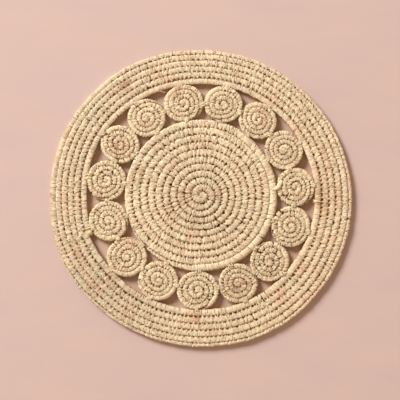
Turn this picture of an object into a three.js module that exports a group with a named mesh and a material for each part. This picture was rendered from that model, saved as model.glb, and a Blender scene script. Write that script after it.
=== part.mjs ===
// A round openwork table mat coiled from palm leaf: a centre disc, a ring of small coils that
// fill the channel round it, and a wide border coil round them all.
// Millimetres, +Z up. The mat lies flat on z = 0 with its middle over the origin.

import * as THREE from 'three';

// Driving dimensions

const SEAM = 0.35; // the gap between two neighbouring pieces, which only stitches cross

const MAT_MIDDLE = new THREE.Vector2(0, 0); // what the border and the small coils go round

const LARGE_CORD = 9; // how thick the disc's and the border's cord is
const SMALL_CORD = 7.5; // how thick the small coils' cord is
const LAST_TURN = 0.75; // the cord's share of that in the border's thinner last turn
const GROOVE = 1.5; // how far the line between two rows lies below their tops

const DISC_MIDDLE = new THREE.Vector2(0.5, 3.8); // the disc sits a little above the mat's middle
const DISC_ROWS = 11;
const DISC_COLUMNS = 48;

const SMALL_ROWS = 4;
const SMALL_COLUMNS = 18;
const PRESS = 0.6; // how much wider than its place a small coil was before it was tied in

const BORDER_START = 197.4; // where the border's cord begins, in degrees from +X
const BORDER_ROWS = 6;
const BORDER_COLUMNS = 72;
const START_WIDTH = 0.8; // degrees over which the blunt start of the cord steps in
const BORDER_SAG = 0.14; // how far the flat faces between its columns cut into the channel
const HALVINGS = 24; // steps in which a pressed coil's reach is found between two bounds

// How the edge of a piece is rounded, as shares of one row's width and of the thickness.
const SHOULDER = 0.38;
const WALL_FOOT = 0.25;
const WALL_HEAD = 0.75;

const STRAW = '#dcbe97';
const PALE_STRAW = '#e2c6a2';
const WARM_STRAW = '#d8b790';
const MATT = 0.75;

// The disc's edge: its radius in each direction, counter-clockwise from +X.
const DISC_EDGE = [
  { angle: 0, radius: 95.0 },
  { angle: 90, radius: 95.8 },
  { angle: 150, radius: 96.5 },
  { angle: 200, radius: 96.2 },
  { angle: 270, radius: 94.5 },
  { angle: 360, radius: 95.0 },
];

// The border's two edges round the mat's middle, counter-clockwise from where its cord begins.
// The inner edge steps from the last row back to the first one, by most of a cord.
const BORDER_EDGES = [
  { turn: 0, inner: 148.5, outer: 191.4 },
  { turn: 8, inner: 146.0, outer: 191.0 },
  { turn: 18, inner: 143.5, outer: 189.8 },
  { turn: 33, inner: 141.8, outer: 187.2 },
  { turn: 48, inner: 140.5, outer: 185.6 },
  { turn: 63, inner: 139.3, outer: 185.2 },
  { turn: 78, inner: 139.3, outer: 185.6 },
  { turn: 93, inner: 139.9, outer: 187.5 },
  { turn: 108, inner: 141.1, outer: 188.5 },
  { turn: 123, inner: 140.6, outer: 188.8 },
  { turn: 143, inner: 141.8, outer: 189.4 },
  { turn: 163, inner: 143.6, outer: 189.6 },
  { turn: 188, inner: 143.6, outer: 188.1 },
  { turn: 223, inner: 144.3, outer: 187.1 },
  { turn: 253, inner: 144.6, outer: 186.6 },
  { turn: 268, inner: 145.0, outer: 188.4 },
  { turn: 288, inner: 146.2, outer: 190.6 },
  { turn: 310, inner: 147.4, outer: 191.4 },
  { turn: 328, inner: 145.5, outer: 190.6 },
  { turn: 343, inner: 143.4, outer: 189.6 },
  { turn: 360, inner: 143.6, outer: 191.2 },
];

// The small coils, counter-clockwise: the direction of each from the mat's middle, and how wide
// it is along the ring. The channel sets how deep it is.
const SMALL_COILS = [
  { angle: 100.3, width: 51.0 },
  { angle: 124.0, width: 48.5 },
  { angle: 146.1, width: 47.5 },
  { angle: 168.9, width: 51.0 },
  { angle: 193.3, width: 51.5 },
  { angle: 218.1, width: 50.5 },
  { angle: 242.4, width: 51.0 },
  { angle: 268.1, width: 53.5 },
  { angle: 293.8, width: 50.5 },
  { angle: 317.7, width: 51.5 },
  { angle: 343.0, width: 52.5 },
  { angle: 367.3, width: 49.0 },
  { angle: 390.5, width: 51.0 },
  { angle: 414.1, width: 49.0 },
  { angle: 436.8, width: 49.0 },
];

const RADIANS = THREE.MathUtils.DEG2RAD;

function wrap(degrees) {
  return THREE.MathUtils.euclideanModulo(degrees, 360);
}

/** The unit vector that points in a direction on the table. */
function heading(degrees) {
  return new THREE.Vector2(Math.cos(degrees * RADIANS), Math.sin(degrees * RADIANS));
}

/** A point's direction from a middle, in degrees. */
function directionOf(point, middle) {
  return wrap(point.clone().sub(middle).angle() / RADIANS);
}

/** A column of a table at a place between two of its rows, eased from one row to the next. */
function between(table, key, column, at) {
  const above = Math.max(1, table.findIndex((row) => row[key] >= at));
  const low = table[above - 1];
  const high = table[above];
  const share = THREE.MathUtils.smoothstep(at, low[key], high[key]);
  return THREE.MathUtils.lerp(low[column], high[column], share);
}

function discRadius(degrees) {
  return between(DISC_EDGE, 'angle', 'radius', wrap(degrees));
}

function borderEdge(column, degrees) {
  return between(BORDER_EDGES, 'turn', column, wrap(degrees - BORDER_START));
}

// Solids

/** The outer wall of a coil and the grooved tops of its rows, from its foot at the outer edge.
 *  The outermost row may be thinner. A point is (share of the way from the inner edge to the
 *  outer one, height). */
function rowsFromOutside(rows, cord, outermost) {
  const row = 1 / rows;
  const points = [
    new THREE.Vector2(1 - SHOULDER * row, 0),
    new THREE.Vector2(1, WALL_FOOT * outermost),
    new THREE.Vector2(1, WALL_HEAD * outermost),
    new THREE.Vector2(1 - SHOULDER * row, outermost),
  ];
  for (let line = 1; line < rows; line += 1) {
    const beside = line === 1 ? outermost : cord;
    points.push(new THREE.Vector2(1 - line * row, beside - GROOVE));
    points.push(new THREE.Vector2(1 - (line + 0.5) * row, cord));
  }
  return points;
}

/** A disc's section, from the axis round its edge and back to the axis. */
function discSection(rows, cord) {
  const points = rowsFromOutside(rows, cord, cord);
  points.pop();
  return [new THREE.Vector2(0, 0), ...points, new THREE.Vector2(0, cord)];
}

/** A ring's section, closed on itself, with a wall on its inner edge too. */
function ringSection(rows, cord) {
  const row = 1 / rows;
  const points = rowsFromOutside(rows, cord, LAST_TURN * cord);
  points.pop();
  points.push(new THREE.Vector2(SHOULDER * row, cord));
  points.push(new THREE.Vector2(0, WALL_HEAD * cord));
  points.push(new THREE.Vector2(0, WALL_FOOT * cord));
  points.push(new THREE.Vector2(SHOULDER * row, 0));
  points.push(points[0].clone());
  return points;
}

/** A section turned round +Z in columns. Each column has its direction, and reaches from the
 *  piece's inner edge to its outer one there, so that the outline is as uneven as the edges. */
function coil(section, columns, direction, innerEdge, outerEdge) {
  const geometry = new THREE.LatheGeometry(section, columns);
  const position = geometry.getAttribute('position');
  for (let column = 0; column <= columns; column += 1) {
    const degrees = direction(column % columns);
    const along = heading(degrees);
    const inner = innerEdge(degrees);
    const outer = outerEdge(degrees);
    section.forEach((point, place) => {
      const reach = THREE.MathUtils.lerp(inner, outer, point.x);
      const vertex = column * section.length + place;
      position.setXYZ(vertex, along.x * reach, along.y * reach, point.y);
    });
  }
  geometry.computeVertexNormals();
  return geometry;
}

function piece(name, geometry, colour) {
  const material = new THREE.MeshStandardMaterial({ color: colour, roughness: MATT, metalness: 0 });
  const mesh = new THREE.Mesh(geometry, material);
  mesh.name = name;
  return mesh;
}

function centreDisc() {
  const geometry = coil(
    discSection(DISC_ROWS, LARGE_CORD),
    DISC_COLUMNS,
    (column) => (360 / DISC_COLUMNS) * column,
    () => 0,
    discRadius,
  );
  const mesh = piece('centre_disc', geometry, STRAW);
  mesh.position.set(DISC_MIDDLE.x, DISC_MIDDLE.y, 0);
  return mesh;
}

/** The border, whose last column lies just short of its first, so that the step is sharp. */
function borderRing() {
  const geometry = coil(
    ringSection(BORDER_ROWS, LARGE_CORD),
    BORDER_COLUMNS,
    (column) => BORDER_START + ((360 - START_WIDTH) / (BORDER_COLUMNS - 1)) * column,
    (degrees) => borderEdge('inner', degrees),
    (degrees) => borderEdge('outer', degrees),
  );
  return piece('border_ring', geometry, PALE_STRAW);
}

/** Each small coil's middle, in the middle of the channel between the disc and the border. */
function smallCoilPlaces() {
  return SMALL_COILS.map(({ angle, width }) => {
    const out = heading(angle);
    const toDisc = discRadius(angle) + DISC_MIDDLE.dot(out);
    const toBorder = borderEdge('inner', angle);
    return {
      angle,
      width,
      depth: toBorder - toDisc,
      middle: out.clone().multiplyScalar((toBorder + toDisc) / 2),
    };
  });
}

/** How far a small coil reaches in one direction: an ellipse that is flattened where it is
 *  pressed on the disc, the border and the small coils on either side. */
function smallCoilReach(place, neighbours, degrees) {
  const round = degrees - place.angle;
  const deep = place.depth / 2 + PRESS;
  const wide = place.width / 2;
  const along = heading(degrees);
  let reach = 1 / Math.hypot(Math.cos(round * RADIANS) / deep, Math.sin(round * RADIANS) / wide);
  neighbours.forEach((other) => {
    const across = other.middle.clone().sub(place.middle);
    const toSeam = (across.length() * place.width) / (place.width + other.width) - SEAM / 2;
    const facing = across.normalize().dot(along);
    if (facing > 0) {
      reach = Math.min(reach, toSeam / facing);
    }
  });
  const clear = (distance) => {
    const point = place.middle.clone().addScaledVector(along, distance);
    const fromDisc = point.distanceTo(DISC_MIDDLE) - discRadius(directionOf(point, DISC_MIDDLE));
    const toBorder = borderEdge('inner', directionOf(point, MAT_MIDDLE)) - point.length();
    return Math.min(fromDisc, toBorder - BORDER_SAG) >= SEAM;
  };
  let low = reach / 2;
  let high = reach;
  if (clear(high)) {
    return high;
  }
  for (let halving = 0; halving < HALVINGS; halving += 1) {
    const middle = (low + high) / 2;
    if (clear(middle)) {
      low = middle;
    } else {
      high = middle;
    }
  }
  return low;
}

function smallCoils() {
  const places = smallCoilPlaces();
  return places.map((place, number) => {
    const before = places[(number + places.length - 1) % places.length];
    const after = places[(number + 1) % places.length];
    const geometry = coil(
      discSection(SMALL_ROWS, SMALL_CORD),
      SMALL_COLUMNS,
      (column) => place.angle + (360 / SMALL_COLUMNS) * column,
      () => 0,
      (degrees) => smallCoilReach(place, [before, after], degrees),
    );
    const mesh = piece(`rosette_${String(number + 1).padStart(2, '0')}`, geometry, WARM_STRAW);
    mesh.position.set(place.middle.x, place.middle.y, 0);
    return mesh;
  });
}

// The mat, with the middle of its box over the origin

const mat = new THREE.Group();
mat.add(centreDisc(), borderRing(), ...smallCoils());
const boxMiddle = new THREE.Box3().setFromObject(mat).getCenter(new THREE.Vector3());
mat.position.set(-boxMiddle.x, -boxMiddle.y, 0);

export default mat;
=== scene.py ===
import math

import bmesh
import bpy
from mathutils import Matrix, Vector, noise
from mathutils.bvhtree import BVHTree


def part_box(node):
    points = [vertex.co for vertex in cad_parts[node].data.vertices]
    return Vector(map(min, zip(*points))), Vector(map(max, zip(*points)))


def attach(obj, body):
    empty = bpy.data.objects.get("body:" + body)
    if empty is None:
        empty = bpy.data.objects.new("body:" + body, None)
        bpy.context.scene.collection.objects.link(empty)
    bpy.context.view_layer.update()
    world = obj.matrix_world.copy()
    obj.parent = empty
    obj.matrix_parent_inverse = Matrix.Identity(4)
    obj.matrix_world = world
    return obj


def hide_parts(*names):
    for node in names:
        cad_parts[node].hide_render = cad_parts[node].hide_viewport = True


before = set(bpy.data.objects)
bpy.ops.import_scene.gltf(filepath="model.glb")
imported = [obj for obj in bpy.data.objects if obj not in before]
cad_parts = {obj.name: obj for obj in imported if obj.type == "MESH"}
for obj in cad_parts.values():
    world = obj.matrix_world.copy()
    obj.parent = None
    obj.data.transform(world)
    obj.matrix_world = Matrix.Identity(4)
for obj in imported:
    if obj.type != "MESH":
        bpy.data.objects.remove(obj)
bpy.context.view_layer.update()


# The centre disc: one cord of palm leaf, wound clockwise and outwards into eleven flat rows. The
# cord is a bundle of leaf, and a strip of leaf goes round it. Every other wrap is a stitch, which
# reaches over the row inside and goes down through it.

MM = 0.001
UP = Vector((0, 0, 1))

DISC_TURNS = 10.45
DISC_EYE = (1.4 * MM, -0.5 * MM)  # the winding's eye, from the middle of the disc
DISC_TAIL = 195  # the direction in which the cord's tapered end lies, counter-clockwise from +X
DISC_TAPER = 75  # degrees over which that end tapers
DISC_EASE = -0.06  # below zero, the rows get wider outwards
DISC_SLACK = 0.2  # how much narrower the strips are at the eye
DISC_FREE = 0.4  # the turns at the eye that have no stitches
DISC_NEAT = (-95, 60)  # the directions in which the outermost row is smooth
DISC_PERIOD = 5.4 * MM  # the length of row that two stitches take up
DISC_FINE_PERIOD = 4.7 * MM  # the stitches of the first rows are closer
DISC_FINE_TURNS = 5.3

EYE_TURN = -0.42  # the turn on which a coil's cord starts
STATION = 2.2 * MM  # how far apart the stations of a cord are
SKIN = 0.25 * MM  # how far the strips stand out from the cord that they are laid round
CORE_SHARE = 0.88  # the bundle inside the wraps, as a share of the row
CORE_SIDES = 8
TIP_HEIGHT = 0.45  # the share of its height that a tapered end keeps
SWAY = 0.5 * MM  # how far the rows wander
SWAY_LENGTH = 26 * MM
SWAY_SEED = 8
NARROWING = 0.45  # the turns in which a last row gets narrower
THINNING_START = 2.4  # how many turns before its end a cord starts to get thinner
THINNING_TURNS = 1.8  # and in how many turns it has
SLACK_REACH = 75 * MM  # how far out from the eye the strips are narrower
AREA_STEP = 5  # degrees


def heading(degrees):
    """The level unit vector in a direction, counter-clockwise from +X."""
    return Vector((math.cos(math.radians(degrees)), math.sin(math.radians(degrees)), 0))


def solid_of(node):
    """A CAD solid as a tree that rays can be cast at."""
    return BVHTree.FromObject(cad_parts[node], bpy.context.evaluated_depsgraph_get())


def middle_of(node):
    low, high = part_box(node)
    return (Vector(low) + Vector(high)) / 2


def outer_edge(solid, middle, degrees, soften=0):
    """How far a solid's outer edge lies from a point inside it, over some degrees to each side."""
    away = 1.0
    reaches = []
    for turn in (-soften, -soften / 2, 0, soften / 2, soften):
        along = heading(degrees + turn)
        reaches.append(away - solid.ray_cast(middle + along * away, -along)[3])
    return sum(reaches) / len(reaches)


def inner_edge(solid, middle, degrees):
    """How far a ring's inner edge lies from a point in its hole."""
    return solid.ray_cast(middle, heading(degrees))[3]


def outline_area(edge, solid, middle):
    """The area inside an edge of a solid, seen from above, as a fan of narrow slices."""
    turn = math.radians(AREA_STEP)
    return sum(edge(solid, middle, degrees) ** 2 * turn / 2 for degrees in range(0, 360, AREA_STEP))


def eased(share, ease):
    """A share of the way outwards, moved so that the rows get wider or narrower."""
    return share + ease * share * (1 - share)


noise.seed_set(SWAY_SEED)


def wander(point):
    """A slow drift of the rows, the same for neighbours, as hand work has."""
    drift = noise.noise_vector(point / SWAY_LENGTH)
    return Vector((drift.x, drift.y, 0)) * SWAY


def wound_cord(middle, thick, first, last, start, taper, inner, outer, ease, thin=1.0, lift=0.0,
               slack=0.0, narrow=1.0):
    """The stations of a cord wound clockwise and outwards, from its first turn to its last. Each
    has its point, half of its width and of its height, how full its strips are, the turn that it
    is on, whether it is at the rim, and its direction. The rows share the way from the inner
    edge to the outer one, and the end tapers away. Thin is the share of its height that the last
    row keeps, narrow the share of its width, and slack how much narrower the strips are at the
    eye."""
    stations = []
    turn = first

    def row_width(turn):
        narrowing = (1 - narrow) * min(1, max(0, turn - (last - 1)) / NARROWING)
        return (1 - narrowing) * min(1, (last - turn) / (taper / 360))

    while turn < last:
        degrees = start - 360 * turn
        before = turn % 1 if inner else 0
        outermost = turn + math.floor(last - turn)
        width = row_width(turn)
        whole = outermost + row_width(outermost) - before
        reach_in = inner(degrees) if inner else 0
        reach_out = outer(degrees)
        shares = [(edge - before) / whole for edge in (turn, turn + width)]
        radii = [reach_in + (reach_out - reach_in) * eased(share, ease) for share in shares]
        radius = (radii[0] + radii[1]) / 2
        thinned = min(1, max(0, (turn - (last - THINNING_START)) / THINNING_TURNS))
        tapered = TIP_HEIGHT + (1 - TIP_HEIGHT) * min(1, (last - turn) / (taper / 360))
        half_height = (thick / 2 - SKIN) * tapered * (1 - (1 - thin) * thinned)
        level = Vector((middle.x, middle.y, half_height + SKIN + lift))
        point = level + heading(degrees) * radius
        stations.append({
            "point": point + wander(point) * min(1, width),
            "half_width": (radii[1] - radii[0]) / 2,
            "half_height": half_height,
            "full": 1 - slack * max(0, 1 - radius / SLACK_REACH),
            "turn": turn,
            "rim": float(turn > last - 1),
            "towards": degrees % 360,
        })
        turn += STATION / (2 * math.pi * max(radius, 3 * STATION))
    return stations


def new_piece(name, mesh):
    piece = bpy.data.objects.new(name, mesh)
    bpy.context.scene.collection.objects.link(piece)
    return piece


def skin(mesh, rings, across=(), steps=1):
    """Joins rings of corners, each to the next. Across says where the corners lie on the mesh's
    own map, if it has one, and the rings lie along it in steps."""
    layer = mesh.loops.layers.uv.get("UVMap")
    sides = len(rings[0])
    for place, (low, high) in enumerate(zip(rings, rings[1:])):
        for side in range(sides):
            beside = (side + 1) % sides
            face = mesh.faces.new((low[side], low[beside], high[beside], high[side]))
            if across:
                corners = ((side, 0), (side + 1, 0), (side + 1, 1), (side, 1))
                for corner, (column, row) in zip(face.loops, corners):
                    corner[layer].uv = (across[column], (place + row) / steps)


def smooth_data(name, mesh):
    """What an object is made of, from a mesh: smooth faces that point outwards."""
    bmesh.ops.recalc_face_normals(mesh, faces=mesh.faces)
    for face in mesh.faces:
        face.smooth = True
    data = bpy.data.meshes.new(name)
    mesh.to_mesh(data)
    mesh.free()
    return data


def bundle(name, stations, finish):
    """The bundle of leaf inside the wraps, as one closed tube with an oval section."""
    mesh = bmesh.new()
    rings = []
    points = [station["point"] for station in stations]
    for place, station in enumerate(stations):
        before = points[max(0, place - 1)]
        after = points[min(len(points) - 1, place + 1)]
        out = UP.cross((after - before).normalized())
        ring = []
        for side in range(CORE_SIDES):
            turn = 2 * math.pi * side / CORE_SIDES
            across = out * math.cos(turn) * station["half_width"] * CORE_SHARE
            upright = UP * math.sin(turn) * station["half_height"] * CORE_SHARE
            ring.append(mesh.verts.new(station["point"] + across + upright))
        rings.append(ring)
    skin(mesh, rings)
    mesh.faces.new(rings[0])
    mesh.faces.new(rings[-1])
    data = smooth_data(name, mesh)
    data.materials.append(finish)
    return new_piece(name, data)


# A strip's way round the cord, seen along the cord. "out" is in halves of the row's width and "up"
# in halves of its height. "half" is the strip's half width, as a share of its widest, "lean"
# is how far it leans to the strip that it shares a hole with, and "fold" is how far its other
# edge lies in. A bite is the short loop that ties a smooth outer row to the row inside.
STITCH = [
    {"out": 1.00, "up": 0.36, "half": 0.90, "lean": 0.00, "fold": 0.00},
    {"out": 0.89, "up": 0.88, "half": 0.96, "lean": 0.00, "fold": 0.01},
    {"out": 0.48, "up": 0.98, "half": 1.00, "lean": 0.00, "fold": 0.02},
    {"out": -0.18, "up": 1.00, "half": 1.00, "lean": 0.00, "fold": 0.03},
    {"out": -0.56, "up": 0.98, "half": 0.92, "lean": 0.04, "fold": 0.11},
    {"out": -0.84, "up": 0.91, "half": 0.86, "lean": 0.20, "fold": 0.31},
    {"out": -1.10, "up": 0.87, "half": 0.71, "lean": 0.38, "fold": 0.35},
    {"out": -1.44, "up": 0.95, "half": 0.47, "lean": 0.56, "fold": 0.27},
    {"out": -1.46, "up": -0.70, "half": 0.26, "lean": 0.46, "fold": 0.05},
    {"out": -0.60, "up": -0.88, "half": 0.90, "lean": 0.08, "fold": 0.02},
    {"out": 0.60, "up": -0.84, "half": 0.98, "lean": 0.00, "fold": 0.02},
]
FINE_STITCH = [
    {"out": 1.00, "up": 0.34, "half": 0.92, "lean": 0.00, "fold": 0.01},
    {"out": 0.88, "up": 0.92, "half": 0.96, "lean": 0.00, "fold": 0.02},
    {"out": 0.46, "up": 0.98, "half": 1.00, "lean": 0.00, "fold": 0.03},
    {"out": -0.16, "up": 1.00, "half": 1.00, "lean": 0.00, "fold": 0.06},
    {"out": -0.54, "up": 0.98, "half": 0.94, "lean": 0.04, "fold": 0.10},
    {"out": -0.82, "up": 0.86, "half": 0.80, "lean": 0.24, "fold": 0.32},
    {"out": -1.10, "up": 0.80, "half": 0.62, "lean": 0.42, "fold": 0.38},
    {"out": -1.46, "up": 0.92, "half": 0.42, "lean": 0.58, "fold": 0.28},
    {"out": -1.48, "up": -0.70, "half": 0.24, "lean": 0.48, "fold": 0.05},
    {"out": -0.60, "up": -0.88, "half": 0.90, "lean": 0.08, "fold": 0.02},
    {"out": 0.60, "up": -0.84, "half": 0.98, "lean": 0.00, "fold": 0.02},
]
WRAP = [
    {"out": 1.00, "up": 0.05, "half": 0.90, "lean": 0.00},
    {"out": 0.88, "up": 0.66, "half": 0.95, "lean": 0.00},
    {"out": 0.50, "up": 0.93, "half": 1.00, "lean": 0.00},
    {"out": -0.20, "up": 1.00, "half": 1.00, "lean": 0.00},
    {"out": -0.86, "up": 0.91, "half": 0.98, "lean": 0.00},
    {"out": -1.14, "up": 0.68, "half": 0.90, "lean": 0.00},
    {"out": -0.80, "up": -0.80, "half": 0.95, "lean": 0.00},
    {"out": 0.60, "up": -0.84, "half": 0.95, "lean": 0.00},
]
BITE = [
    {"out": -0.30, "up": 0.90, "half": 0.72, "lean": 0.60},
    {"out": -0.62, "up": 0.84, "half": 0.66, "lean": 0.60},
    {"out": -0.96, "up": 0.74, "half": 0.56, "lean": 0.60},
    {"out": -1.20, "up": 0.80, "half": 0.42, "lean": 0.60},
    {"out": -1.44, "up": 0.88, "half": 0.24, "lean": 0.60},
    {"out": -1.46, "up": -0.70, "half": 0.24, "lean": 0.60},
    {"out": -1.00, "up": -0.76, "half": 0.56, "lean": 0.60},
    {"out": -0.30, "up": -0.90, "half": 0.72, "lean": 0.60},
]
STRIP_RIBS = {-1.0: -0.02, -0.42: 0.03, 0.06: 0.0, 0.58: 0.03, 1.0: -0.03}  # up, by how far across
STRIP_ACROSS = (0.0, 0.3, 0.5, 0.7, 1.0, 1.5, 2.0)  # where these lie on its map, then its underside
STRIP_THICK = 0.1  # how thick a strip is, in halves of the row
STRIP_BEND = 1.5  # above one, a fold gets steeper towards the edge
STRIP_LIT = 0.87  # above this height a strip has no painted shade, in halves of the row
STRIP_DARK = 0.62  # and below this one its painted shade, a brown, is full
STRIP_SUNK = 0.16  # an edge that lies this far in takes the full painted shade too


def strip_shape(name, way, hand):
    """One strip of leaf as a closed loop round a cord whose row and height are both 2. It lies
    across the cord, which runs along +X, and its own map runs across it and along it. It leans
    forwards or back, as its hand is 1 or -1, and falls away to its other side by its fold. Its
    corners carry how much painted shade they take, as they lie low or sunk, and whether they are
    on the cord's outer side."""
    mesh = bmesh.new()
    mesh.loops.layers.uv.new("UVMap")
    painted_shades = mesh.verts.layers.float.new("depth")
    outers = mesh.verts.layers.float.new("outer")
    middles = [Vector((0, step["out"], step["up"])) for step in way]
    rings = []
    for place, step in enumerate(way):
        before = middles[place - 1]
        after = middles[(place + 1) % len(way)]
        out = (after - before).normalized().cross(Vector((1, 0, 0)))
        if out.dot(middles[place]) < 0:
            out = -out
        fold = step.get("fold", 0)
        section = [(side, rib - fold * ((1 - side) / 2) ** STRIP_BEND)
                   for side, rib in STRIP_RIBS.items()]
        ring = []
        for side, lift in (*section, (0.0, -fold - STRIP_THICK)):
            point = middles[place] + out * lift
            point.x = hand * (side * step["half"] + step["lean"])
            corner = mesh.verts.new(point)
            # painted shade: a corner low on the cord or sunk in a fold is painted brown, for the
            # shade that falls there
            below = (STRIP_LIT - abs(point.z)) / (STRIP_LIT - STRIP_DARK)
            corner[painted_shades] = min(1, max(0, below, -lift / STRIP_SUNK))
            corner[outers] = float(step["out"] > 0.5)
            ring.append(corner)
        rings.append(ring)
    skin(mesh, rings + rings[:1], STRIP_ACROSS, len(way))
    return new_piece(name, smooth_data(name, mesh))


class Wire:
    """A socket's value, so that what a tree works out is written as a sum."""

    def __init__(self, board, socket):
        self.board = board
        self.socket = socket

    def math(self, operation, first, second):
        return self.board.node("ShaderNodeMath", {"operation": operation},
                               {"Value": first, "Value_001": second})

    def __add__(self, other):
        return self.math("ADD", self, other)

    def __radd__(self, other):
        return self.math("ADD", other, self)

    def __sub__(self, other):
        return self.math("SUBTRACT", self, other)

    def __rsub__(self, other):
        return self.math("SUBTRACT", other, self)

    def __mul__(self, other):
        return self.math("MULTIPLY", self, other)

    def __rmul__(self, other):
        return self.math("MULTIPLY", other, self)

    def __truediv__(self, other):
        return self.math("DIVIDE", self, other)

    def __floordiv__(self, other):
        return self.board.node("ShaderNodeMath", {"operation": "FLOOR"}, {"Value": self / other})

    def __lt__(self, other):
        return self.math("LESS_THAN", self, other)


class Board:
    """A node tree that nodes are laid out on. A socket is named by its identifier."""

    def __init__(self, tree):
        self.tree = tree

    def node(self, kind, settings=None, values=None, gives=None):
        made = self.tree.nodes.new(kind)
        for name, value in (settings or {}).items():
            if name == "stops":
                self.set_stops(made.color_ramp, value)
            else:
                setattr(made, name, value)
        sockets = {socket.identifier: socket for socket in made.inputs}
        for name, value in (values or {}).items():
            for one in value if isinstance(value, list) else [value]:
                if isinstance(one, Wire):
                    self.tree.links.new(one.socket, sockets[name])
                else:
                    sockets[name].default_value = one
        results = {socket.identifier: socket for socket in made.outputs}
        return Wire(self, results[gives] if gives else made.outputs[0])

    def set_stops(self, ramp, stops):
        while len(ramp.elements) < len(stops):
            ramp.elements.new(0.5)
        for element, (place, colour) in zip(ramp.elements, stops):
            element.position = place
            element.color = colour

    def feed(self, node, name, wire):
        self.tree.links.new(wire.socket, node.inputs[name])

    def combine(self, x, y, z):
        return self.node("ShaderNodeCombineXYZ", {}, {"X": x, "Y": y, "Z": z})

    def part(self, vector, way):
        return self.node("ShaderNodeSeparateXYZ", {}, {"Vector": vector}, way)

    def vector(self, operation, first, second, gives="Vector"):
        values = {"Vector": first, "Vector_001": second}
        return self.node("ShaderNodeVectorMath", {"operation": operation}, values, gives)

    def scaled(self, vector, scale):
        values = {"Vector": vector, "Scale": scale}
        return self.node("ShaderNodeVectorMath", {"operation": "SCALE"}, values)

    def mix(self, share, first, second, blend="MIX"):
        settings = {"data_type": "RGBA", "blend_type": blend}
        values = {"Factor_Float": share, "A_Color": first, "B_Color": second}
        return self.node("ShaderNodeMix", settings, values, "Result_Color")

    def cloud(self, place, scale, detail, gives="Fac"):
        values = {"Vector": place, "Scale": scale, "Detail": detail}
        return self.node("ShaderNodeTexNoise", {"noise_dimensions": "3D"}, values, gives)

    def fading(self, value, start, end):
        """One up to the start, and smoothly down to nothing at the end."""
        return self.node("ShaderNodeMapRange", {"interpolation_type": "SMOOTHSTEP"}, {
            "Value": value, "From Min": start, "From Max": end, "To Min": 1.0, "To Max": 0.0})

    def attribute(self, name):
        return self.node("ShaderNodeAttribute", {"attribute_name": name}, {}, "Fac")

    def ramp(self, value, stops):
        return self.node("ShaderNodeValToRGB", {"stops": stops}, {"Fac": value})

    def bump(self, height, strength):
        values = {"Height": height, "Strength": strength, "Distance": 0.5 * MM}
        return self.node("ShaderNodeBump", {}, values)


HAND_SPOTS = 16.0  # how close together the careless places lie, the higher the closer
TURN_SPOTS = 9.0  # the same of the places where the strips turn one way
CROWD_SPOTS = 55.0  # and of those where the stitches crowd together
DENT_SPOTS = 520.0  # and of the dents in a strip
SLIP = 0.35  # how far two stitches that share a hole slip along the row, in periods
CROWD = 0.9  # and how far the crowding moves them
TIP = 0.08  # how far a strip tips over sideways, in radians
TURN = 0.7  # how far it turns, where Uneven is one
WIDER = 0.5  # and how much wider or narrower it is there
LEAF_RUN = 3  # how many strips in a row are one leaf
LEAF_MIXED = 1.5  # and how many of those may be another
DENT_LOW = 1.0 * MM  # there are no dents below this height
DENT_HIGH = 4.0 * MM  # and all of them above this one
WRAP_SPARED = 0.6  # how much less a plain wrap is dented


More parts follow.
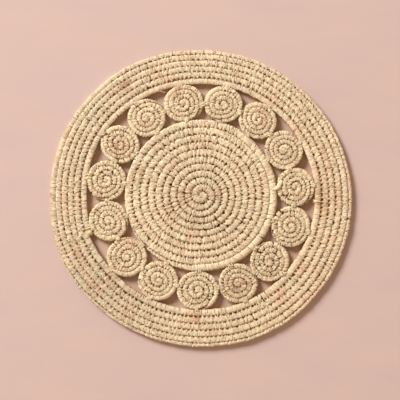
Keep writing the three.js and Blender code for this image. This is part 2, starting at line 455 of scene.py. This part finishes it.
def winding_tree():
    """Lays strips of leaf round a line of stations. Every Period holds two stitches that share a
    hole. A free row has two plain wraps instead, and a smooth one has two and a bite. Half is
    half a strip's width, Uneven and Rough how much strips differ in place and in height, Slant
    how far they all turn from straight across, and Crumple how deep their dents are."""
    tree = bpy.data.node_groups.new("strips_round_a_cord", "GeometryNodeTree")
    sockets = tree.interface
    sockets.new_socket("Geometry", in_out="OUTPUT", socket_type="NodeSocketGeometry")
    kinds = {"Geometry": "Geometry", "First Stitch": "Object", "Second Stitch": "Object",
             "Wrap": "Object", "Bite": "Object", "Period": "Float", "Half": "Float",
             "Uneven": "Float", "Rough": "Float", "Slant": "Float", "Crumple": "Float",
             "Seed": "Int", "Finish": "Material"}
    for name, kind in kinds.items():
        sockets.new_socket(name, in_out="INPUT", socket_type="NodeSocket" + kind)
    board = Board(tree)
    entry = tree.nodes.new("NodeGroupInput")
    given = {socket.name: Wire(board, socket) for socket in entry.outputs if socket.name}
    seeds = iter(range(100))

    def chance(low, high, number):
        values = {"Min_001": low, "Max_001": high, "ID": number,
                  "Seed": given["Seed"] + next(seeds)}
        return board.node("FunctionNodeRandomValue", {"data_type": "FLOAT"}, values, "Value_001")

    def measure(name):
        return board.node("GeometryNodeInputNamedAttribute", {"data_type": "FLOAT"},
                          {"Name": name})

    place = board.node("GeometryNodeInputPosition")
    index = board.node("GeometryNodeInputIndex")
    tangent = board.node("GeometryNodeInputTangent")
    care = board.cloud(place, HAND_SPOTS, 1.0)
    turned_by = board.cloud(place, TURN_SPOTS, 0.0)
    crowding = board.cloud(place, CROWD_SPOTS, 0.0)
    uneven = given["Uneven"] * (care * 3 - 0.5)
    rough = given["Rough"] * (care * 3 - 0.5)
    pair = index // 2
    second = index - pair * 2
    first = second < 0.5
    line = board.node("GeometryNodeMeshToCurve", {}, {"Mesh": given["Geometry"]})
    places = board.node("GeometryNodeResampleCurve", {"mode": "LENGTH"},
                        {"Curve": line, "Length": given["Period"] / 2})
    slip = (chance(-SLIP, SLIP, pair) * uneven + (crowding - 0.5) * CROWD) * given["Period"]
    moved = board.node("GeometryNodeSetPosition", {},
                       {"Geometry": places, "Offset": board.scaled(tangent, slip)})
    lie = board.node("FunctionNodeAxesToRotation", {"primary_axis": "X", "secondary_axis": "Z"},
                     {"Primary Axis": tangent, "Secondary Axis": tuple(UP)})
    lean = board.combine(chance(-TIP, TIP, index), chance(-1, 1, index) * rough,
                         given["Slant"] * (turned_by * 6 - 2) + chance(-TURN, TURN, index) * uneven)
    euler = board.node("FunctionNodeEulerToRotation", {}, {"Euler": lean})
    turned = board.node("FunctionNodeRotateRotation", {"rotation_space": "LOCAL"},
                        {"Rotation": lie, "Rotate By": euler})
    width = given["Half"] * measure("full")
    size = board.combine(width * (1 + chance(-WIDER, WIDER, index) * uneven),
                         measure("half_width") * chance(0.98, 1.02, index),
                         measure("half_height") * (1 - chance(0, 1, index) * rough))
    leaf = (index + chance(0, LEAF_MIXED, index)) // LEAF_RUN
    stitched = (measure("free") + measure("smooth")) < 0.5
    courses = []
    for shape, chosen in (("First Stitch", stitched * first), ("Second Stitch", stitched * second),
                          ("Wrap", 1 - stitched), ("Bite", measure("smooth") * first)):
        strip = board.node("GeometryNodeObjectInfo", {}, {"Object": given[shape]}, "Geometry")
        course = board.node("GeometryNodeInstanceOnPoints", {},
                            {"Points": moved, "Instance": strip, "Rotation": turned,
                             "Scale": size, "Selection": chosen})
        for name, number in (("tone", index), ("leaf", leaf)):
            course = board.node("GeometryNodeStoreNamedAttribute",
                                {"data_type": "FLOAT", "domain": "INSTANCE"},
                                {"Geometry": course, "Name": name, "Value": chance(0, 1, number)})
        courses.append(course)
    joined = board.node("GeometryNodeJoinGeometry", {}, {"Geometry": courses})
    real = board.node("GeometryNodeRealizeInstances", {}, {"Geometry": joined})
    across, along, up = (board.part(place, way) for way in "XYZ")
    above = board.node("ShaderNodeMapRange", {},
                       {"Value": up, "From Min": DENT_LOW, "From Max": DENT_HIGH})
    plain = measure("free") + measure("smooth")
    crumple = given["Crumple"] * above * (1 - plain * WRAP_SPARED)
    dents = board.vector("SUBTRACT", board.cloud(place, DENT_SPOTS, 1.0, "Color"), (0.5, 0.5, 0.5))
    crumpled = board.node("GeometryNodeSetPosition", {},
                          {"Geometry": real, "Offset": board.scaled(dents, crumple)})
    off_the_table = board.combine(across, along, up.math("MAXIMUM", up, 0.0))
    pressed = board.node("GeometryNodeSetPosition", {},
                         {"Geometry": crumpled, "Position": off_the_table})
    smooth = board.node("GeometryNodeSetShadeSmooth", {}, {"Geometry": pressed})
    done = board.node("GeometryNodeSetMaterial", {},
                      {"Geometry": smooth, "Material": given["Finish"]})
    board.feed(tree.nodes.new("NodeGroupOutput"), 0, done)
    return tree


def station_line(runs, free, smooth, neat):
    """Runs of stations as lines of edges that carry the sizes of the row. The row is free before
    the one turn. After the other it is smooth, in the directions that are neat."""
    mesh = bpy.data.meshes.new("stations")
    stations = [station for run in runs for station in run]
    ends = {sum(len(run) for run in runs[:number + 1]) - 1 for number in range(len(runs))}
    edges = [(place, place + 1) for place in range(len(stations)) if place not in ends]
    mesh.from_pydata([station["point"] for station in stations], edges, [])
    for station in stations:
        station["free"] = float(station["turn"] < free)
        span = (station["towards"] - neat[0]) % 360
        station["smooth"] = float(station["turn"] > smooth and span < neat[1] - neat[0])
    for name in ("half_width", "half_height", "full", "free", "smooth", "rim"):
        sizes = mesh.attributes.new(name, "FLOAT", "POINT")
        sizes.data.foreach_set("value", [station[name] for station in stations])
    return mesh


def strips(name, runs, winding, shapes, free, smooth, neat, **inputs):
    """The strips round runs of cord, as a plain mesh that no modifier is left on."""
    piece = new_piece(name, station_line(runs, free, smooth, neat))
    laid = piece.modifiers.new("winding", "NODES")
    laid.node_group = winding
    inputs = {**shapes, **inputs}
    for item in winding.interface.items_tree:
        if item.in_out == "INPUT" and item.name in inputs:
            laid[item.identifier] = inputs[item.name]
    seen = piece.evaluated_get(bpy.context.evaluated_depsgraph_get())
    result = bpy.data.meshes.new_from_object(seen)
    piece.modifiers.remove(laid)
    piece.data = result
    return piece


def colour(red, green, blue):
    """A colour as it is seen, from 0 to 255, made linear."""
    parts = [part / 255 for part in (red, green, blue)]
    return tuple(((part + 0.055) / 1.055) ** 2.4 for part in parts) + (1.0,)


PAINTED_LIGHT_DRIFT = (0.22, -0.22, 0.0)  # painted light: the leaf is painted paler away from the lamp, by the metre, evening out its falloff over the mat
SHADE_BROWN = (158, 100, 10)  # the brown of the painted shade deep between the strips
BROWNEST = 0.95  # how much of the painted shade shows where it is deepest
RIM_SPARED = 0.85  # and how much less on the outer side of the outermost row
LINES = (7, 1.6)  # how close the fine lines are, across a strip and along it
LINES_APART = 90  # how much the lines differ from strip to strip
PATCHES = 32.0  # how close the patches of one colour of leaf are
LINES_PALER = 0.30  # how much paler some of the lines are than others
DARKEST = 0.865  # the darkest strip, and how much paler the palest is
PALEST = 0.20
KINDS = (0.34, 0.4)  # where the first leaf lies between deep and green, and how much further the last


def new_finish(name):
    """A material, with its board and its shader."""
    finish = bpy.data.materials.new(name)
    finish.use_nodes = True
    return finish, Board(finish.node_tree), finish.node_tree.nodes["Principled BSDF"]


def leaf_finish(name, pale, deep, green, pink, paler, spots=()):
    """Dried palm leaf: matt strips with fine lines along them, each a little different, in
    straw, green straw and pinkish tan. In a spot, which has a middle and a reach, the leaf is
    paler or darker, and pinker, than round it. Its brightness also drifts over the mat by paler,
    by the metre, along the line to the lamp, which is painted light. Where a strip lies low or
    sunk it is painted brown, which is painted shade."""
    finish, board, shader = new_finish(name)
    place = board.node("ShaderNodeTexCoord", gives="Object")
    over = board.node("ShaderNodeUVMap", {"uv_map": "UVMap"})
    tone = board.attribute("tone")
    fine = board.combine(board.part(over, "X") * LINES[0], board.part(over, "Y") * LINES[1],
                         tone * LINES_APART)
    lines = board.cloud(fine, 1.0, 2.0)
    patches = board.cloud(place, PATCHES, 2.0)
    kind = board.attribute("leaf") * KINDS[1] + (patches - 0.5) + KINDS[0]
    # painted light: the leaf's brightness drifts along the line to the lamp
    drift = board.vector("DOT_PRODUCT", place, paler, "Value")
    bright = DARKEST + tone * PALEST + (lines - 0.5) * LINES_PALER + drift
    for spot in spots:
        away = board.vector("DISTANCE", place, tuple(spot["middle"]), "Value")
        near = board.fading(away, 0.0, spot["reach"])
        bright = bright + near * spot["paler"]
        kind = kind - near * spot["pinker"]
    base = board.ramp(kind, [(0.0, colour(*deep)), (0.30, colour(*pink)), (0.52, colour(*pale)),
                             (0.74, colour(*pale)), (1.0, colour(*green))])
    shade = board.node("ShaderNodeCombineColor", {},
                       {"Red": bright, "Green": bright, "Blue": bright})
    # the leaf's own tones, with the painted light of the drift in them
    toned_leaf = board.mix(1.0, base, shade, "MULTIPLY")
    # painted shade: the leaf multiplied by a brown, shown where the strip lies low or sunk
    shaded_leaf = board.mix(1.0, toned_leaf, colour(*SHADE_BROWN), "MULTIPLY")
    at_the_rim = board.attribute("outer") * board.attribute("rim")
    depth = board.attribute("depth") * BROWNEST * (1 - at_the_rim * RIM_SPARED)
    board.feed(shader, "Base Color", board.mix(depth, toned_leaf, shaded_leaf))
    board.feed(shader, "Roughness", 0.66 - (lines - 0.5) * 0.2)
    shader.inputs["Specular IOR Level"].default_value = 0.12
    board.feed(shader, "Normal", board.bump(lines, 0.5))
    return finish


def bundle_finish():
    """The bundle inside: the same leaf, painted dark brown for the shade that it lies in."""
    finish, board, shader = new_finish("leaf_bundle")
    fibres = board.cloud(board.node("ShaderNodeTexCoord", gives="Object"), 300.0, 3.0)
    # painted shade: the bundle is given a dark brown, though it is the same pale leaf
    brown = board.ramp(fibres, [(0.3, colour(92, 48, 8)), (0.7, colour(130, 76, 20))])
    board.feed(shader, "Base Color", brown)
    shader.inputs["Roughness"].default_value = 0.8
    shader.inputs["Specular IOR Level"].default_value = 0.1
    board.feed(shader, "Normal", board.bump(fibres, 0.4))
    return finish


def lay_down(node, slot, area, cord, *wound):
    """Hangs a coil's pieces under the root and hides its CAD part. A coil lies flat as it was sewn.
    The slot and the area are not used.
    """
    for piece in (cord, *wound):
        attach(piece, "root")
    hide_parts(node)


def strip_shapes(name, stitch):
    """The four shapes of strip that one cord needs, by the names that the winding gives them."""
    return {"First Stitch": strip_shape(name + "_first_stitch", stitch, 1),
            "Second Stitch": strip_shape(name + "_second_stitch", stitch, -1),
            "Wrap": strip_shape(name + "_wrap", WRAP, 1),
            "Bite": strip_shape(name + "_bite", BITE, 1)}


shapes = strip_shapes("large", STITCH)
fine_shapes = strip_shapes("small", FINE_STITCH)
winding = winding_tree()
inside = bundle_finish()

disc_solid = solid_of("centre_disc")
disc_middle = middle_of("centre_disc")
disc_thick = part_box("centre_disc")[1][2]
disc_eye = Vector((disc_middle.x + DISC_EYE[0], disc_middle.y + DISC_EYE[1], disc_thick / 2))
disc_leaf = leaf_finish(
    "leaf_of_the_disc", pale=(252, 232, 195), deep=(216, 181, 138), green=(242, 232, 194),
    pink=(245, 216, 182), paler=PAINTED_LIGHT_DRIFT,
    spots=[{"middle": disc_eye, "reach": 70 * MM, "paler": -0.06, "pinker": 0.12}])
disc_stations = wound_cord(
    disc_eye, disc_thick, first=EYE_TURN, last=DISC_TURNS, start=DISC_TAIL + 360 * DISC_TURNS,
    taper=DISC_TAPER, inner=None, outer=lambda degrees: outer_edge(disc_solid, disc_eye, degrees),
    ease=DISC_EASE, slack=DISC_SLACK)
disc = bundle("centre_disc_cord", disc_stations, inside)
disc_fine_strips = strips(
    "centre_disc_inner_stitches", [[row for row in disc_stations if row["turn"] < DISC_FINE_TURNS]],
    winding, fine_shapes, free=DISC_FREE, smooth=DISC_TURNS, neat=DISC_NEAT,
    Period=DISC_FINE_PERIOD, Half=2.1 * MM, Uneven=0.50, Rough=0.03, Slant=0.15,
    Crumple=2.7 * MM, Seed=1, Finish=disc_leaf)
disc_strips = strips(
    "centre_disc_outer_stitches", [[row for row in disc_stations if row["turn"] >= DISC_FINE_TURNS]],
    winding, shapes, free=DISC_FREE, smooth=DISC_TURNS - 1, neat=DISC_NEAT,
    Period=DISC_PERIOD, Half=2.3 * MM, Uneven=0.42, Rough=0.055, Slant=0.12,
    Crumple=2.4 * MM, Seed=20, Finish=disc_leaf)
lay_down("centre_disc", "disc_leaf", outline_area(outer_edge, disc_solid, disc_middle), disc,
         disc_fine_strips, disc_strips)


# The border: a longer cord, wound clockwise round the ring of small coils in six rows. It starts
# bluntly on the inside, where it is tied to a small coil, and tapers away on the outside.

BORDER_START = 197.4
BORDER_TURNS = 6.02
BORDER_TAPER = 35
BORDER_FREE = 1.0  # the turns that have no stitches
BORDER_EASE = 0.03  # above zero, the rows get narrower outwards
BORDER_FLAT = 0.86  # how much of the cord's thickness is left where the rows are pulled flat
BORDER_THIN = 0.86  # how much of that it keeps in its last turn
BORDER_NARROW = 0.54  # and the share of a row's width that the last turn keeps
BORDER_PERIOD = 5.67 * MM
BORDER_NEAT = (128, 205)  # the directions in which the outermost row is smooth
BORDER_SEED = 61

border_leaf = leaf_finish(
    "leaf_of_the_border", pale=(248, 227, 191), deep=(214, 179, 137), green=(240, 229, 190),
    pink=(243, 212, 177), paler=PAINTED_LIGHT_DRIFT,
    spots=[{"middle": heading(222) * 170 * MM, "reach": 130 * MM, "paler": -0.13, "pinker": 0.0},
           {"middle": heading(310) * 215 * MM, "reach": 90 * MM, "paler": 0.08, "pinker": 0.0},
           {"middle": heading(90) * 215 * MM, "reach": 90 * MM, "paler": 0.09, "pinker": 0.0},
           {"middle": heading(4) * 148 * MM, "reach": 42 * MM, "paler": -0.04, "pinker": 0.28},
           {"middle": heading(268) * 150 * MM, "reach": 16 * MM, "paler": -0.03, "pinker": 0.45},
           {"middle": heading(124) * 171 * MM, "reach": 20 * MM, "paler": -0.02, "pinker": 0.45}])
border_solid = solid_of("border_ring")
border_middle = Vector((0, 0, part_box("border_ring")[1][2] / 2))
border_stations = wound_cord(
    border_middle, 2 * border_middle.z * BORDER_FLAT, first=0.0, last=BORDER_TURNS,
    start=BORDER_START, taper=BORDER_TAPER,
    inner=lambda degrees: inner_edge(border_solid, border_middle, degrees),
    outer=lambda degrees: outer_edge(border_solid, border_middle, degrees), ease=BORDER_EASE,
    thin=BORDER_THIN, narrow=BORDER_NARROW)
border = bundle("border_cord", border_stations, inside)
border_halves = (
    ("border_inner_stitches", [row for row in border_stations if row["turn"] < BORDER_TURNS / 2]),
    ("border_outer_stitches", [row for row in border_stations if row["turn"] >= BORDER_TURNS / 2]))
border_stitches = [
    strips(name, [rows], winding, shapes, free=BORDER_FREE, smooth=BORDER_TURNS - 1,
           neat=BORDER_NEAT, Period=BORDER_PERIOD, Half=2.45 * MM, Uneven=0.40, Rough=0.045,
           Slant=0.12, Crumple=1.9 * MM, Seed=BORDER_SEED, Finish=border_leaf)
    for name, rows in border_halves]
for shape in shapes.values():
    bpy.data.objects.remove(shape)
border_area = (outline_area(outer_edge, border_solid, border_middle)
               - outline_area(inner_edge, border_solid, border_middle))
lay_down("border_ring", "border_leaf", border_area, border, *border_stitches)


# The small coils: fifteen little discs of a thinner cord, four rows each, wound like the centre
# disc and tied in between it and the border.

SMALL_TURNS = 3.6
SMALL_TAPER = 60
SMALL_PERIOD = 4.2 * MM
SMALL_LIFT = 1.0 * MM  # how far the ties hold it off the table
SMALL_SOFTEN = 14  # degrees over which a small coil's outline is rounded
SMALL_TAILS = 300  # the direction of the first coil's end, and each next one's lies further round
SMALL_TAIL_STEP = 97
SMALL_NEAT = 120  # where the first coil's outer row starts to be smooth, and the next ones' later
SMALL_NEAT_STEP = 24
SMALL_NEAT_SPAN = 80  # and over how many degrees it is
SMALL_FREE = 0.6  # the turns at the eye that have no stitches
SMALL_SEED = 100
SMALL_SEED_STEP = 20
SMALL_RISE = 0.07  # how much higher its strips lie between the rows than the centre disc's

small_shapes = strip_shapes("coil", [dict(step, up=step["up"] + SMALL_RISE * (step["fold"] > 0.2))
                                     for step in FINE_STITCH])
small_leaf = leaf_finish(
    "leaf_of_the_small_coils", pale=(252, 231, 191), deep=(212, 176, 132), green=(243, 232, 190),
    pink=(245, 213, 179), paler=(-0.12, 0.12, 0.0),
    spots=[{"middle": middle_of("rosette_09"), "reach": 34 * MM, "paler": -0.07, "pinker": 0.25},
           {"middle": middle_of("rosette_10"), "reach": 34 * MM, "paler": -0.04, "pinker": 0.15},
           {"middle": middle_of("rosette_03"), "reach": 30 * MM, "paler": 0.0, "pinker": 0.20}])
small_names = sorted(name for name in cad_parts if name.startswith("rosette_"))
small_coils = []
for number, node in enumerate(small_names):
    solid = solid_of(node)
    middle = middle_of(node)
    tail = SMALL_TAILS + SMALL_TAIL_STEP * number
    neat = SMALL_NEAT + SMALL_NEAT_STEP * number
    stations = wound_cord(
        middle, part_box(node)[1][2], first=EYE_TURN, last=SMALL_TURNS,
        start=tail + 360 * SMALL_TURNS, taper=SMALL_TAPER, inner=None,
        outer=lambda degrees: outer_edge(solid, middle, degrees, SMALL_SOFTEN), ease=0.0,
        lift=SMALL_LIFT)
    coil = bundle("small_coil_cord_" + node[-2:], stations, inside)
    wound = strips(
        "small_coil_stitches_" + node[-2:], [stations], winding, small_shapes, free=SMALL_FREE,
        smooth=SMALL_TURNS - 1, neat=(neat, neat + SMALL_NEAT_SPAN), Period=SMALL_PERIOD,
        Half=1.8 * MM, Uneven=0.60, Rough=0.07, Slant=0.15, Crumple=2.6 * MM,
        Seed=SMALL_SEED + SMALL_SEED_STEP * number, Finish=small_leaf)
    lay_down(node, "small_coil_leaf", outline_area(outer_edge, solid, middle), coil, wound)
    small_coils.append({"middle": middle, "solid": solid})
for shape in (*fine_shapes.values(), *small_shapes.values()):
    bpy.data.objects.remove(shape)


# The ties: short rows of stitches in the same leaf that hold each small coil to its neighbours, to
# the centre disc and to the border.

TIE = [
    {"out": 1.00, "up": 0.66, "half": 0.75, "lean": 0.00},
    {"out": 0.74, "up": 0.97, "half": 1.00, "lean": 0.00},
    {"out": 0.22, "up": 0.97, "half": 1.00, "lean": 0.00},
    {"out": -0.22, "up": 0.97, "half": 1.00, "lean": 0.00},
    {"out": -0.74, "up": 0.97, "half": 1.00, "lean": 0.00},
    {"out": -1.00, "up": 0.66, "half": 0.75, "lean": 0.00},
    {"out": -0.96, "up": -0.50, "half": 0.75, "lean": 0.00},
    {"out": -0.50, "up": -0.90, "half": 1.00, "lean": 0.00},
    {"out": 0.50, "up": -0.90, "half": 1.00, "lean": 0.00},
    {"out": 0.96, "up": -0.50, "half": 0.75, "lean": 0.00},
]
TIE_REACH = 2.5 * MM  # how far a tie reaches to each side of where two pieces meet
TIE_ROW = 3.7 * MM  # the length of a row of ties
TIE_PERIOD = 3.5 * MM
TIE_TOPS = {"coil": 8.9 * MM, "disc": 9.1 * MM, "border": 8.4 * MM}


def tie_run(point, towards, top):
    """Two stations at the ends of a row of ties, across the way from one piece to the other."""
    across = UP.cross(towards)
    run = []
    for side in (-0.5, 0.5):
        level = Vector((point.x, point.y, top / 2))
        run.append({"point": level + across * side * TIE_ROW, "half_width": TIE_REACH,
                    "half_height": top / 2, "full": 1, "turn": 0, "rim": 0, "towards": 0})
    return run


tie_shape = strip_shape("tie", TIE, 1)
runs = []
for number, coil in enumerate(small_coils):
    beside = small_coils[(number + 1) % len(small_coils)]
    for other, solid, kind in ((beside["middle"], beside["solid"], "coil"),
                               (disc_middle, disc_solid, "disc")):
        gap = other - coil["middle"]
        degrees = math.degrees(math.atan2(gap.y, gap.x))
        near = outer_edge(coil["solid"], coil["middle"], degrees)
        far = gap.length - outer_edge(solid, other, degrees + 180)
        point = coil["middle"] + heading(degrees) * (near + far) / 2
        runs.append(tie_run(point, heading(degrees), TIE_TOPS[kind]))
    degrees = math.degrees(math.atan2(coil["middle"].y, coil["middle"].x))
    near = coil["middle"].xy.length + outer_edge(coil["solid"], coil["middle"], degrees)
    far = inner_edge(border_solid, border_middle, degrees)
    runs.append(tie_run(heading(degrees) * (near + far) / 2, heading(degrees), TIE_TOPS["border"]))
ties = strips("ties_of_the_small_coils", runs, winding, {"Wrap": tie_shape}, free=1, smooth=1,
              neat=(0, 0), Period=TIE_PERIOD, Half=0.8 * MM, Uneven=0.6, Rough=0.04, Slant=0.2,
              Crumple=0.5 * MM, Seed=500, Finish=small_leaf)
bpy.data.objects.remove(tie_shape)
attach(ties, "root")


# The loose ends, in the same leaf: the pale end of one small coil, laid over the disc's edge, a
# frayed knot and a strand that cross the border's inner row, a curled strand that hangs in an
# opening, and the greenish leaf that is folded over the border's blunt start.

END_THICK = 0.5 * MM
END_SECTION = ((-1, 0), (-0.4, 1.2), (0.4, 1), (1, 0), (0.4, -1), (-0.4, -1))  # across it and up
END_COIL = 11  # the small coil whose end lies over the disc's edge, counted from the first
KNOT_AT = -1.5  # the direction of each from the middle of the mat, in degrees
STRAND_AT = -58.5
CURL_AT = 110.0
CAP_LENGTH = 3.8 * MM  # half the length of the leaf over the border's start
CAP_PROUD = 1.14  # how far it stands out past the row, as a share of it
CAP_SHIFT = Vector((4.4, 2.2, 0.3)) * MM  # it lies against the small coil beside it
CAP_FLOOR = 0.2 * MM  # it stays this far off the table
CAP_RINGS = 9
CAP_SIDES = 14
CAP_END = 0.97  # how near to a point its ends come, where one is a point
CAP_BLUNT = 2.6  # two is a round end, and above two it is blunter
CAP_CREASE = 0.05  # how deep its creases are
CAP_CREASES = 3
CAP_TWIST = 2.5  # how far the creases turn from its middle to its end, in radians


def finished(name, mesh, finish, tone, leaf):
    """Makes a piece of one colour of leaf out of a mesh."""
    data = smooth_data(name, mesh)
    for kind, value in (("tone", tone), ("leaf", leaf)):
        looks = data.attributes.new(kind, "FLOAT", "POINT")
        looks.data.foreach_set("value", [value] * len(data.vertices))
    data.materials.append(finish)
    piece = new_piece(name, data)
    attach(piece, "root")
    return piece


def loose_end(name, root, degrees, way, finish, tone, leaf):
    """A flat strip of leaf that follows points, in mm. Each is given as how far outwards it lies
    from the root, how far counter-clockwise and how far up, and by how wide the strip is there."""
    out = heading(degrees)
    around = UP.cross(out)
    points = [root + (out * step[0] + around * step[1] + UP * step[2]) * MM for step in way]
    mesh = bmesh.new()
    mesh.loops.layers.uv.new("UVMap")
    rings = []
    for place, step in enumerate(way):
        along = (points[min(len(points) - 1, place + 1)] - points[max(0, place - 1)]).normalized()
        side = UP.cross(along).normalized() * step[3] / 2 * MM
        top = along.cross(side).normalized() * END_THICK / 2
        rings.append([mesh.verts.new(points[place] + side * across + top * up)
                      for across, up in END_SECTION])
    skin(mesh, rings, [corner / 3 for corner in range(len(END_SECTION) + 1)], len(way))
    mesh.faces.new(rings[0])
    mesh.faces.new(rings[-1])
    return finished(name, mesh, finish, tone, leaf)


def rim_point(degrees):
    """A point under the border's inner edge, level with the table."""
    return heading(degrees) * inner_edge(border_solid, border_middle, degrees)


paired = small_coils[END_COIL]["middle"]
paired_at = math.degrees(math.atan2(paired.y, paired.x))
paired_edge = paired.xy.length - outer_edge(small_coils[END_COIL]["solid"], paired, paired_at + 180)
loose_end("end_of_a_small_coil", heading(paired_at) * paired_edge, paired_at,
          [(7.0, 10.0, 8.3, 4.0), (4.6, 6.6, 8.9, 5.6), (2.4, 3.0, 9.2, 5.8), (-0.4, 0.8, 9.6, 4.6),
           (-3.2, 0.2, 9.6, 3.2), (-5.4, 0.4, 9.3, 1.8), (-7.0, 0.9, 9.0, 0.5)],
          small_leaf, 1.0, 0.5)
knot = [
    [(-3.0, 1.9, 6.6, 0.8), (-1.2, 1.2, 7.8, 1.8), (1.2, 0.4, 8.4, 2.1), (3.6, 0.2, 8.8, 2.2),
     (5.8, -0.2, 8.6, 1.5), (7.2, -0.8, 8.0, 0.6)],
    [(-3.2, -1.0, 6.8, 0.7), (-1.0, -0.6, 8.2, 1.6), (1.0, 0.0, 8.8, 1.7), (2.6, 0.6, 8.9, 1.0)],
    [(0.4, -2.9, 7.6, 0.5), (1.4, -2.2, 8.5, 1.3), (3.0, -2.4, 8.6, 1.2), (4.4, -3.0, 8.1, 0.5)]]
for number, way in enumerate(knot):
    loose_end("knot_on_the_border_%d" % number, rim_point(KNOT_AT), KNOT_AT, way, border_leaf,
              1.3, 0.5)
loose_end("strand_over_the_border", rim_point(STRAND_AT), STRAND_AT,
          [(-0.4, 0.6, 4.4, 0.6), (0.4, 0.5, 7.0, 0.7), (2.0, 0.3, 8.0, 0.7), (4.4, 0.2, 8.2, 0.7),
           (6.2, 0.4, 7.6, 0.8), (7.2, 0.4, 6.2, 0.8)], inside, 0.5, 0.5)
loose_end("strand_in_an_opening", rim_point(CURL_AT), CURL_AT,
          [(0.8, 3.4, 6.2, 0.6), (-0.4, 2.6, 6.6, 0.9), (-0.9, 1.0, 6.9, 1.0), (-2.0, -0.5, 6.8, 1.0),
           (-3.4, -1.5, 6.4, 0.9), (-3.9, -2.8, 6.0, 0.9), (-3.4, -3.7, 5.9, 0.4)],
          border_leaf, 1.0, 0.1)

green_leaf = leaf_finish("greenish_leaf", pale=(232, 218, 160), deep=(206, 190, 128),
                         green=(222, 212, 150), pink=(232, 214, 158), paler=PAINTED_LIGHT_DRIFT)
start, onward = border_stations[0], border_stations[3]
backward = (start["point"] - onward["point"]).normalized()
sideways = UP.cross(backward)
cap = bmesh.new()
cap.loops.layers.uv.new("UVMap")
cap_rings = []
for ring in range(CAP_RINGS):
    share = ring / (CAP_RINGS - 1) * 2 - 1
    swell = (1 - abs(share * CAP_END) ** CAP_BLUNT) ** 0.5 * CAP_PROUD
    corners = []
    for side in range(CAP_SIDES):
        turn = 2 * math.pi * side / CAP_SIDES
        crease = 1 + CAP_CREASE * math.sin(CAP_CREASES * turn + CAP_TWIST * share)
        corners.append(cap.verts.new(
            start["point"] + CAP_SHIFT + backward * share * CAP_LENGTH
            + sideways * math.cos(turn) * (start["half_width"] + SKIN) * swell * crease
            + UP * math.sin(turn) * (start["half_height"] + SKIN) * swell * crease))
        corners[-1].co.z = max(corners[-1].co.z, CAP_FLOOR)
    cap_rings.append(corners)
skin(cap, cap_rings)
cap.faces.new(cap_rings[0])
cap.faces.new(cap_rings[-1])
finished("leaf_over_the_border_start", cap, green_leaf, 0.5, 0.6)


# The table top, a wide matt board in a dusty pink with a painted warm glow from the mat under
# its middle, the daylight that falls on it from the upper left, and the camera straight above.

FLOOR_REACH = 6
FLOOR_PAINTED_GLOW = (145 * MM, 165 * MM)  # how far from its middle the painted glow from the mat fades, from and to
FLOOR_MOTTLE = 9.0  # how close its faint mottles are
WINDOW_PLACE = (-4.45, 4.45, 3.75)
WINDOW_SIZE = 2.8
WINDOW_POWER = 670
WINDOW_COLOUR = (0.87, 0.92, 0.97)
VIEW_WIDTH = 504 * MM  # how much of the table top the camera takes in
VIEW_HEIGHT = 1.6
VIEW_MIDDLE = (-1.3 * MM, -1.9 * MM)

floor_mesh = bmesh.new()
bmesh.ops.create_grid(floor_mesh, x_segments=1, y_segments=1, size=FLOOR_REACH)
floor_data = bpy.data.meshes.new("table_top")
floor_mesh.to_mesh(floor_data)
floor_mesh.free()
floor = new_piece("table_top", floor_data)
floor_finish, floor_board, floor_shader = new_finish("dusty_pink")
floor_place = floor_board.node("ShaderNodeTexCoord", gives="Object")
floor_away = floor_board.vector("DISTANCE", floor_place, (0.0, 0.0, 0.0), "Value")
floor_stretched = floor_board.vector("MULTIPLY", floor_place, (1.0, 2.6, 1.0))
floor_mottle = (floor_board.cloud(floor_stretched, FLOOR_MOTTLE, 5.0) - 0.35) * 2.5
floor_plain = floor_board.mix(floor_mottle, colour(229, 199, 187), colour(223, 196, 190))
# painted light: the warm light that the mat throws on the table under it is painted into the floor
floor_with_painted_glow = floor_board.mix(floor_board.fading(floor_away, *FLOOR_PAINTED_GLOW), floor_plain,
                             colour(220, 187, 166))
floor_board.feed(floor_shader, "Base Color", floor_with_painted_glow)
floor_shader.inputs["Roughness"].default_value = 0.9
floor_data.materials.append(floor_finish)

window = bpy.data.lights.new("window", "AREA")
window.shape = "DISK"
window.size = WINDOW_SIZE
window.energy = WINDOW_POWER
window.color = WINDOW_COLOUR
window_lamp = bpy.data.objects.new("window", window)
window_lamp.location = WINDOW_PLACE
window_lamp.rotation_euler = (-window_lamp.location).to_track_quat("-Z", "Y").to_euler()
bpy.context.scene.collection.objects.link(window_lamp)

world = bpy.data.worlds.new("room")
world.use_nodes = True
sky = Board(world.node_tree)
sky_height = sky.part(sky.node("ShaderNodeTexCoord", gives="Generated"), "Z")
glow = sky.ramp(sky_height, [(0.0, (1.02, 0.80, 0.60, 1.0)), (0.6, (0.50, 0.37, 0.26, 1.0)),
                             (1.0, (0.08, 0.055, 0.036, 1.0))])
plain = sky.mix(sky.node("ShaderNodeLightPath", gives="Is Camera Ray"), glow, colour(238, 222, 214))
sky.feed(world.node_tree.nodes["Background"], "Color", plain)
bpy.context.scene.world = world

camera = bpy.data.cameras.new("camera")
camera.sensor_width = 36
camera.lens = camera.sensor_width * VIEW_HEIGHT / VIEW_WIDTH
camera_rig = bpy.data.objects.new("camera", camera)
camera_rig.location = (*VIEW_MIDDLE, VIEW_HEIGHT)
bpy.context.scene.collection.objects.link(camera_rig)
bpy.context.scene.camera = camera_rig
bpy.context.scene.view_settings.view_transform = "Standard"
